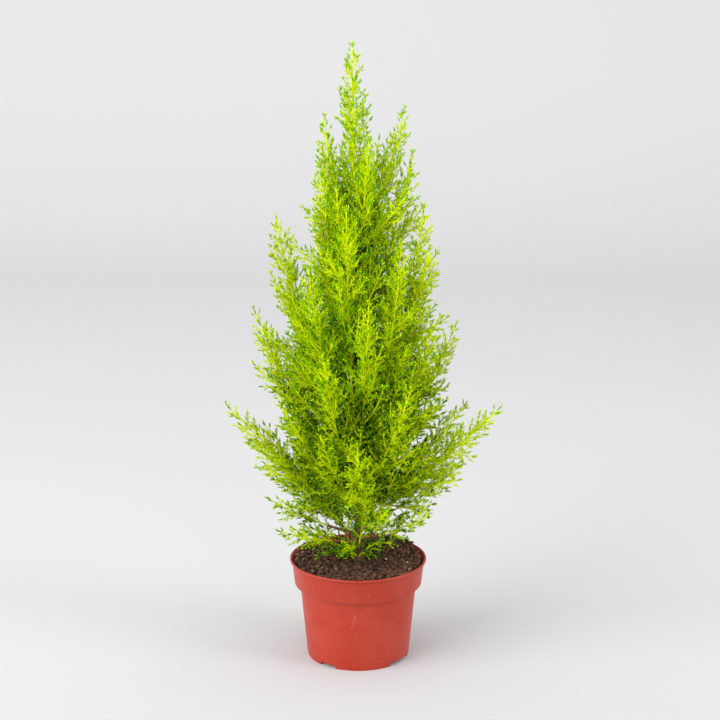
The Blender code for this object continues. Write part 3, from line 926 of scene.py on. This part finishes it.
def grow_twigs(limbs, inner):
    """Every needle-bearing twig of the crown."""
    twigs = []
    for number, limb in enumerate(limbs + inner):
        own = number < len(limbs)
        start = STEM_START if number < BOUGH_COUNT else 0.0
        draw = random.Random(f"{SEED} foliage_{limb.name}")
        shoots = side_shoots(limb, start, draw) if own else []
        draw = random.Random(f"{SEED} twigs {limb.name}")
        bare = BARE_SHARE if own and limb.tip.z < BARE_BELOW else LEAST_BARE
        shoots += finer_shoots(limb, bare, BRANCHES, draw)
        shade = LIT if own else shade_at(limb_point(limb, 0.7), draw, 0.0)
        radius = LIMB_RADIUS if own else INNER_RADIUS
        twigs.append(Twig(limb.root, limb.bend, drawn_back(limb), 1, radius, shade))
        dress(limb, bare, twigs, draw)
        for shoot in shoots:
            if not kept(limb_point(shoot, 0.7), draw):
                continue
            radius = SHOOT_RADIUS + SHOOT_THICKENING * (shoot.tip - shoot.root).length
            shade = shade_at(limb_point(shoot, 0.6), draw, SHOOT_FRESHNESS)
            twigs.append(Twig(shoot.root, shoot.bend, drawn_back(shoot), 2, radius, shade))
            dress(shoot, SHOOT_BARE, twigs, draw)
    return [twig for twig in twigs if well_inside(twig.tip)]


# Bark


def bark_tube(bm, limb, end, radii, sides, stations, relief, seed):
    """A limb's woody stretch, with ridges that run along it."""
    rings = []
    for i in range(stations + 1):
        share = end * i / stations
        centre = limb_point(limb, share)
        side, up = crosswise(limb_direction(limb, share))
        radius = radii[0] + (radii[1] - radii[0]) * i / stations
        ring = []
        for j in range(sides):
            turn = math.tau * j / sides
            out = math.cos(turn) * side + math.sin(turn) * up
            ridge = noise.noise(Vector((math.cos(turn) * 1.6, math.sin(turn) * 1.6, share * 9 + seed)))
            ring.append(bm.verts.new(centre + out * (radius + relief * ridge)))
        rings.append(ring)
    join_rings(bm, rings)


def build_trunk(settings):
    """The trunk from the compost to the foot of the leading shoot, with ridged bark and a flared foot."""
    bm = bmesh.new()
    sides = 28
    stations = 260
    rings = []
    for i in range(stations + 1):
        height = TRUNK_FOOT - TRUNK_SUNK + (TRUNK_TIP - TRUNK_FOOT + TRUNK_SUNK) * i / stations
        centre = trunk_axis(height)
        radius = trunk_radius(max(height, TRUNK_FOOT))
        ring = []
        for j in range(sides):
            turn = math.tau * j / sides
            out = Vector((math.cos(turn), math.sin(turn), 0))
            ridge = noise.noise(Vector((out.x * 3.2, out.y * 3.2, height * 60)))
            root = max(0.0, 1 - (height - TRUNK_FOOT) / ROOT_RIDGES_HEIGHT) * math.sin(3 * turn + 0.6)
            flake = noise.noise(Vector((out.x * 7, out.y * 7, height * 210)))
            push = settings.relief * (1.1 * ridge + 0.5 * flake + root)
            ring.append(bm.verts.new(centre + out * (radius * 0.97 + push)))
        rings.append(ring)
    join_rings(bm, rings)
    mesh = mesh_from_bmesh(bm, "trunk_bark")
    finish = bark_material("trunk_bark", settings.dark, settings.light, settings.young)
    place_piece("trunk_bark", mesh, finish, ("trunk",))


def build_boughs(settings):
    """The woody lower stretch of every limb."""
    bm = bmesh.new()
    for number, limb in enumerate(grow_limbs()):
        thickness = 0.0018 if number < BOUGH_COUNT else 0.0013
        bark_tube(bm, limb, WOODY_SHARE, (thickness, 0.001), 9, 26, settings.relief * 0.5, number)
    mesh = mesh_from_bmesh(bm, "bough_bark")
    dark = mixed(settings.dark, settings.light, 0.35)
    light = mixed(settings.light, (0.62, 0.22, 0.05), 0.55)
    finish = bark_material("bough_bark", dark, light, settings.young)
    names = [f"bough_{number:02d}" for number in range(1, BOUGH_COUNT + 1)]
    place_piece("bough_bark", mesh, finish, names)


# Foliage


def curve_points(roots, bends, tips, shares):
    """Points on many limbs' curves at once."""
    s = shares[..., None]
    return (1 - s) ** 2 * roots + 2 * s * (1 - s) * bends + s**2 * tips


def unit(vectors):
    return vectors / np.linalg.norm(vectors, axis=-1, keepdims=True)


def curve_directions(roots, bends, tips, shares):
    s = shares[..., None]
    return unit((1 - s) * (bends - roots) + s * (tips - bends))


def cross_axes(directions):
    """Two unit vectors square to each direction and to each other."""
    upright = np.zeros_like(directions)
    upright[..., 2] = 1.0
    level = np.abs(directions[..., 2]) > 0.995
    upright[level] = (0, 1, 0)
    side = unit(np.cross(directions, upright))
    return side, np.cross(side, directions)


def tapered_tubes(roots, bends, tips, root_radii, tip_radii, sides, parts):
    """Many tubes at once along their curves, open at both ends, as points and triangles."""
    roots, bends, tips = (np.array([tuple(p) for p in group]) for group in (roots, bends, tips))
    count = len(roots)
    shares = np.tile(np.linspace(0, 1, parts + 1), (count, 1))
    spread = [group[:, None, :] for group in (roots, bends, tips)]
    centres = curve_points(*spread, shares)
    side, up = cross_axes(curve_directions(*spread, shares))
    radii = root_radii[:, None] * (1 - shares) + tip_radii[:, None] * shares
    turns = np.arange(sides) * math.tau / sides
    out = np.cos(turns)[:, None] * side[:, :, None, :] + np.sin(turns)[:, None] * up[:, :, None, :]
    points = centres[:, :, None, :] + radii[:, :, None, None] * out
    ring = np.arange(parts)[:, None] * sides
    near = np.arange(sides)
    far = (near + 1) % sides
    first = np.stack((ring + near, ring + far, ring + sides + far), -1)
    second = np.stack((ring + near, ring + sides + far, ring + sides + near), -1)
    one = np.concatenate((first.reshape(-1, 3), second.reshape(-1, 3)))
    offsets = np.arange(count)[:, None, None] * (parts + 1) * sides
    return points.reshape(-1, 3), (one + offsets).reshape(-1, 3)


def needle_arrays(feet, directions, outward, lengths, width):
    """Needles as points and triangles. Each is a blade folded along its ridge that narrows to a point."""
    across = unit(np.cross(directions, outward))
    face = np.cross(across, directions)
    half = (width / 2)[:, None]
    left = feet + across * half
    right = feet - across * half
    ridge = feet + face * half * 0.8
    points = feet + directions * lengths[:, None]
    verts = np.stack((left, right, ridge, points), 1).reshape(-1, 3)
    triangles = np.array(((0, 2, 3), (2, 1, 3)))
    offsets = np.arange(len(feet))[:, None, None] * 4
    return verts, (triangles + offsets).reshape(-1, 3)


def needles_on(twigs, settings, seed):
    """Needles along every twig's shank, and thicker in the club at its tip."""
    draw = np.random.default_rng(seed)
    roots, bends, tips = (np.array([tuple(twig[part]) for twig in twigs]) for part in range(3))
    order = np.array([twig.order for twig in twigs]) - 1
    radius = np.array([twig.radius for twig in twigs])
    shade = np.array([twig.shade for twig in twigs])
    length = np.linalg.norm(tips - roots, axis=1)
    club = np.minimum(length * 0.92, CLUB_LENGTH[order])
    bare = np.where(order == 0, 0.26, 0.06) * (length - club)
    shank = length - club - bare
    shank_count = np.ceil(shank / (SHANK_SPACING[order] * SHADE_SPACING[shade])).astype(int)
    club_count = np.ceil(club / (CLUB_SPACING[order] * SHADE_SPACING[shade])).astype(int)
    count = shank_count + club_count
    owner = np.repeat(np.arange(len(twigs)), count)
    first = np.cumsum(count) - count
    step = np.arange(len(owner)) - first[owner]
    along = (step + 0.5) / np.maximum(shank_count, 1)[owner]
    up_club = (step - shank_count[owner] + 0.5) / club_count[owner]
    on_club = up_club > 0
    in_club = (length - club)[owner] + up_club * club[owner]
    travelled = np.where(on_club, in_club, bare[owner] + along * shank[owner])
    share = travelled / length[owner]
    up_club = np.clip(up_club, 0, 1)
    curves = [group[owner] for group in (roots, bends, tips)]
    centre = curve_points(*curves, share)
    way = curve_directions(*curves, share)
    side, up = cross_axes(way)
    first_turn = draw.uniform(0, math.tau, len(twigs))[owner]
    turn = step * GOLDEN_ANGLE + first_turn + draw.normal(0, 0.25, len(owner))
    outward = np.cos(turn)[:, None] * side + np.sin(turn)[:, None] * up
    kind = order[owner]
    lean = np.where(on_club, 44 - 32 * up_club**2, SHANK_LEAN[kind])
    lean = np.radians(lean * draw.uniform(0.8, 1.2, len(owner)))
    heading = np.cos(lean)[:, None] * way + np.sin(lean)[:, None] * outward
    heading[:, 2] += 0.08
    heading = unit(heading)
    size = settings.needle_length * draw.uniform(0.82, 1.15, len(owner))
    size *= np.where(on_club, 0.84 - 0.16 * up_club, SHANK_LENGTH[kind])
    feet = centre + outward * (radius[owner] * (1 - share) * 0.6)[:, None]
    width = settings.needle_width * SHADE_WIDTH[shade[owner]] * np.where(on_club, 1.4, 0.9)
    club_shift = np.where(up_club > 0.8, 0.4, np.where(kind < 3, -1.15, -0.6))
    shift = np.where(on_club, club_shift, np.where(kind < 2, 1, 0.4))
    # Sprays above GREEN_ABOVE are kept out of the deepest painted shade.
    least = np.where((shade[owner] > DEEPEST_SHADE) & (feet[:, 2] > GREEN_ABOVE), GREEN, DEEPEST_SHADE)
    shade = np.floor(shade[owner] + shift + draw.uniform(0, 1, len(owner)))
    return np.clip(shade, least, TIP).astype(int), feet, heading, outward, size, width


def inside_box(feet, directions, lengths):
    """Which needles end inside the plant's own box."""
    points = feet + directions * lengths[:, None]
    low, high = (np.array(corner) for corner in CAD_BOX)
    return np.all((points > low) & (points < high), axis=1)


def place_in_parts(name, points, triangles, corners, finish, replaced=()):
    """Places a joined mesh, cut into pieces of an even size."""
    pieces = math.ceil(len(triangles) / PIECE_TRIANGLES)
    for number, faces in enumerate(np.array_split(triangles, pieces)):
        faces = np.array(faces)
        low = faces.min() // corners * corners
        mesh = mesh_from_arrays(name, points[low : faces.max() + 1], faces - low)
        label = name if pieces == 1 else f"{name}_{number + 1}"
        place_piece(label, mesh, finish, replaced if number == 0 else ())


def build_stems(twigs, settings):
    """The green and yellow stems and twigs, joined in one piece for each kind and tone. Those in the
    deepest shade class take a darker copy of the stems' colour, as painted shade.
    """
    young = needle_material("young_stem", settings.stem)
    older = needle_material("older_stem", settings.old_stem)
    for kind, order, sides, parts in (("stems", 1, 5, 16), ("shoots", 2, 4, 4), ("twigs", 3, 3, 1)):
        # The stems in the deepest shade class take the darker copy, as painted shade.
        for age, finish, shades in (("young", young, (GREEN, LIT, BRIGHT)), ("older", older, (DEEPEST_SHADE,))):
            group = [twig for twig in twigs if twig.order == order and twig.shade in shades]
            roots, bends, tips = ([twig[part] for twig in group] for part in range(3))
            radii = np.array([twig.radius for twig in group])
            points, triangles = tapered_tubes(roots, bends, tips, radii, radii * 0.35, sides, parts)
            place_in_parts(f"{age}_{kind}", points, triangles, 1, finish)


def build_foliage(settings):
    """All green stems, twigs and needles, the needles joined by shade."""
    limbs = grow_limbs() + [leader_limb()]
    twigs = grow_twigs(limbs, grow_inner_limbs())
    masses = [f"foliage_{limb.name}" for limb in limbs]
    build_stems(twigs, settings)
    shade, *rows = needles_on(twigs, settings, SEED)
    fits = inside_box(rows[0], rows[1], rows[3])
    for number, name in enumerate(("deep", "green", "lit", "bright", "tip")):
        picked = [row[fits & (shade == number)] for row in rows]
        points, triangles = needle_arrays(*picked)
        finish = needle_material(f"needles_{name}", getattr(settings, name))
        place_in_parts(f"needles_{name}", points, triangles, 4, finish, masses if number == BRIGHT else ())


# Stage


def build_stage():
    """A pale seamless floor that sweeps up to a backdrop, painted darker towards the front as painted
    shade.
    """
    bm = bmesh.new()
    front, back, height, width, sweep = -2.2, 3.0, 4.0, 4.5, 1.2
    path = [(front, 0.0), (back - sweep, 0.0)]
    for i in range(1, 13):
        turn = math.pi / 2 * i / 12
        path.append((back - sweep + sweep * math.sin(turn), sweep - sweep * math.cos(turn)))
    path.append((back, height))
    verts = [bm.verts.new((-width, y, z)) for y, z in path]
    edges = [bm.edges.new(pair) for pair in zip(verts, verts[1:])]
    swept = bmesh.ops.extrude_edge_only(bm, edges=edges)
    moved = [item for item in swept["geom"] if isinstance(item, bmesh.types.BMVert)]
    bmesh.ops.translate(bm, verts=moved, vec=(2 * width, 0, 0))
    mesh = mesh_from_bmesh(bm, "floor")
    finish, tree, shader = new_material("paper_sweep", 0.9)
    shader.inputs["Specular IOR Level"].default_value = 0.0
    # Painted shade: the floor's colour darkens from the backdrop towards the front.
    shades = ((0.0, (0.49, 0.49, 0.497)), (0.25, (0.57, 0.57, 0.577)), (1.0, (0.68, 0.68, 0.69)))
    paint(tree, shader, add_ramp(tree, add_rise(tree, "Y", -0.6, 2.6), shades))
    mesh.materials.append(finish)
    floor = add_object("floor", mesh)


def add_area_light(name, place, size, power):
    data = bpy.data.lights.new(name, "AREA")
    data.shape = "RECTANGLE"
    data.size, data.size_y = size
    data.energy = power
    lamp = add_object(name, data)
    lamp.location = place
    way = Vector(LIT_POINT) - Vector(place)
    lamp.rotation_euler = way.to_track_quat("-Z", "Y").to_euler()


def build_lights():
    add_area_light("key", (-1.95, -1.3, 1.15), (2.1, 2.2), 71)
    add_area_light("side", (1.8, -0.8, 0.8), (0.8, 1.5), 20)
    add_area_light("top", (0, -0.2, 2.4), (2.0, 2.0), 16)
    world = bpy.data.worlds.new("studio")
    world.use_nodes = True
    sky = world.node_tree.nodes["Background"]
    sky.inputs["Color"].default_value = (1, 1, 1, 1)
    sky.inputs["Strength"].default_value = 0.85
    bpy.context.scene.world = world


def build_camera():
    """A 90 mm lens 1.6 m in front of the plant, that looks down on it by 14 degrees."""
    data = bpy.data.cameras.new("camera")
    data.sensor_width = 36
    data.lens = 90
    camera = add_object("camera", data)
    camera.location = (0.0018, -1.618, 0.6973)
    camera.rotation_euler = (math.radians(90 - 14.147), 0, 0)
    scene = bpy.context.scene
    scene.camera = camera
    scene.view_settings.view_transform = "Standard"


# Operators


class CypressPot(bpy.types.Operator):
    """Make the moulded pot"""

    bl_idname = "cypress.pot"
    bl_label = "Pot"

    def execute(self, context):
        build_pot(context.scene.cypress_pot)
        return {"FINISHED"}


class CypressCompost(bpy.types.Operator):
    """Make the compost with its crumbs, fibres and perlite"""

    bl_idname = "cypress.compost"
    bl_label = "Compost"

    def execute(self, context):
        settings = context.scene.cypress_compost
        build_compost_bed(settings)
        dark = settings.dark
        light = settings.light
        crumbs = peat_material("peat_crumb", dark, mixed(dark, light, 0.6), 300)
        scatter_crumbs("compost_crumbs", settings.crumbs, (0.0016, 0.0066), crumbs, 5, 0.6)
        lumps = peat_material("peat_lump", mixed(dark, light, 0.25), light, 260)
        scatter_crumbs("peat_lumps", settings.crumbs // 5, (0.0026, 0.0062), lumps, 11, 0.7)
        chips = peat_material("bark_chip", light, (0.42, 0.2, 0.1), 500)
        scatter_crumbs("bark_chips", settings.crumbs // 3, (0.0010, 0.0034), chips, 9, 0.8)
        fibres = peat_material("root_fibre", mixed(dark, light, 0.4), (0.46, 0.21, 0.10), 260)
        scatter_fibres("compost_fibres", settings.fibres, fibres, 6)
        scatter_crumbs("perlite_grains", settings.perlite, (0.0010, 0.0021), mineral_material(), 7, 2.4)
        amber, _, shader = new_material("amber_bits", 0.5)
        shader.inputs["Base Color"].default_value = (0.62, 0.30, 0.03, 1.0)
        scatter_crumbs("amber_grains", settings.perlite // 3, (0.0007, 0.0013), amber, 8)
        return {"FINISHED"}


class CypressBark(bpy.types.Operator):
    """Make the trunk and the woody boughs with their bark"""

    bl_idname = "cypress.bark"
    bl_label = "Trunk and boughs"

    def execute(self, context):
        build_trunk(context.scene.cypress_bark)
        build_boughs(context.scene.cypress_bark)
        return {"FINISHED"}


class CypressFoliage(bpy.types.Operator):
    """Make the green stems, the twigs and the needles"""

    bl_idname = "cypress.foliage"
    bl_label = "Foliage"

    def execute(self, context):
        build_foliage(context.scene.cypress_foliage)
        return {"FINISHED"}


class CypressStage(bpy.types.Operator):
    """Make the floor, the lights and the camera"""

    bl_idname = "cypress.stage"
    bl_label = "Stage"

    def execute(self, context):
        build_stage()
        build_lights()
        build_camera()
        return {"FINISHED"}


OPERATORS = (CypressStage, CypressPot, CypressCompost, CypressBark, CypressFoliage)
SETTINGS = {
    "cypress_pot": CypressPotSettings,
    "cypress_compost": CypressCompostSettings,
    "cypress_bark": CypressBarkSettings,
    "cypress_foliage": CypressFoliageSettings,
}


class CypressPanel(bpy.types.Panel):
    bl_idname = "VIEW3D_PT_cypress"
    bl_label = "Potted Cypress"
    bl_space_type = "VIEW_3D"
    bl_region_type = "UI"
    bl_category = "Cypress"

    def draw(self, context):
        for operator in OPERATORS:
            self.layout.operator(operator.bl_idname)
        for name, kind in SETTINGS.items():
            box = self.layout.box()
            for prop in kind.__annotations__:
                box.prop(getattr(context.scene, name), prop)


def register():
    for kind in (*SETTINGS.values(), *OPERATORS, CypressPanel):
        bpy.utils.register_class(kind)
    for name, kind in SETTINGS.items():
        setattr(bpy.types.Scene, name, bpy.props.PointerProperty(type=kind))


def unregister():
    for name in SETTINGS:
        delattr(bpy.types.Scene, name)
    for kind in (CypressPanel, *reversed(OPERATORS), *reversed(SETTINGS.values())):
        bpy.utils.unregister_class(kind)


def main():
    register()
    bpy.ops.cypress.stage()
    bpy.ops.cypress.pot()
    bpy.ops.cypress.compost()
    bpy.ops.cypress.bark()
    bpy.ops.cypress.foliage()


if __name__ == "__main__":
    main()
